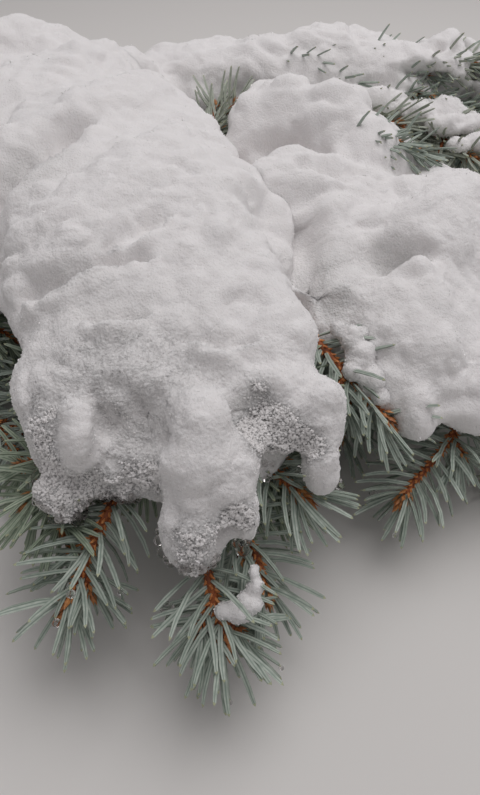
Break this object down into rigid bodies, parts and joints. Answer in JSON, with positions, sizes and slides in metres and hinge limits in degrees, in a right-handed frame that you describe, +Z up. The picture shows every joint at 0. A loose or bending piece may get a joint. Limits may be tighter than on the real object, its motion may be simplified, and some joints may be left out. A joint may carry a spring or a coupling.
{
  "type": "snow-laden spruce bough",
  "caption": "Cut spruce bough lying on its twigs, arched, with blue-grey needles and a thick lumpy load of wet snow along the stem and side boughs.",
  "frame": {"origin": "middle of the bough's outline, on the ground that it lies on", "axes": "+Z up; -Y is the way the tip of the bough points; +X to the right when looking along +Y"},
  "size_m": [0.5204, 0.5088, 0.1329],
  "materials": {
    "bark": "matte",
    "needles": "satin",
    "snow": "matte"
  },
  "bodies": {
    "root": {"bough_left": "bark", "bough_left_back": "bark", "bough_left_front": "bark", "bough_right": "bark", "bough_right_back": "bark", "bough_right_front": "bark", "needles_back_front": "needles", "needles_back_inner": "needles", "needles_back_left": "needles", "needles_back_outer": "needles", "needles_back_rear": "needles", "needles_back_tip": "needles", "needles_left_back": "needles", "needles_left_front": "needles", "needles_left_gap": "needles", "needles_left_inner": "needles", "needles_left_outer": "needles", "needles_left_tip": "needles", "needles_right_front": "needles", "needles_right_inner": "needles", "needles_right_low": "needles", "needles_right_outer": "needles", "needles_right_tip": "needles", "needles_tip": "needles", "needles_tip_low": "needles", "needles_tip_right": "needles", "needles_valley": "needles", "snow_back": "snow", "snow_clump_back": "snow", "snow_clump_right": "snow", "snow_clump_tip": "snow", "snow_front": "snow", "snow_left": "snow", "snow_left_back": "snow", "snow_right": "snow", "stem": "bark"}
  },
  "joints": []
}
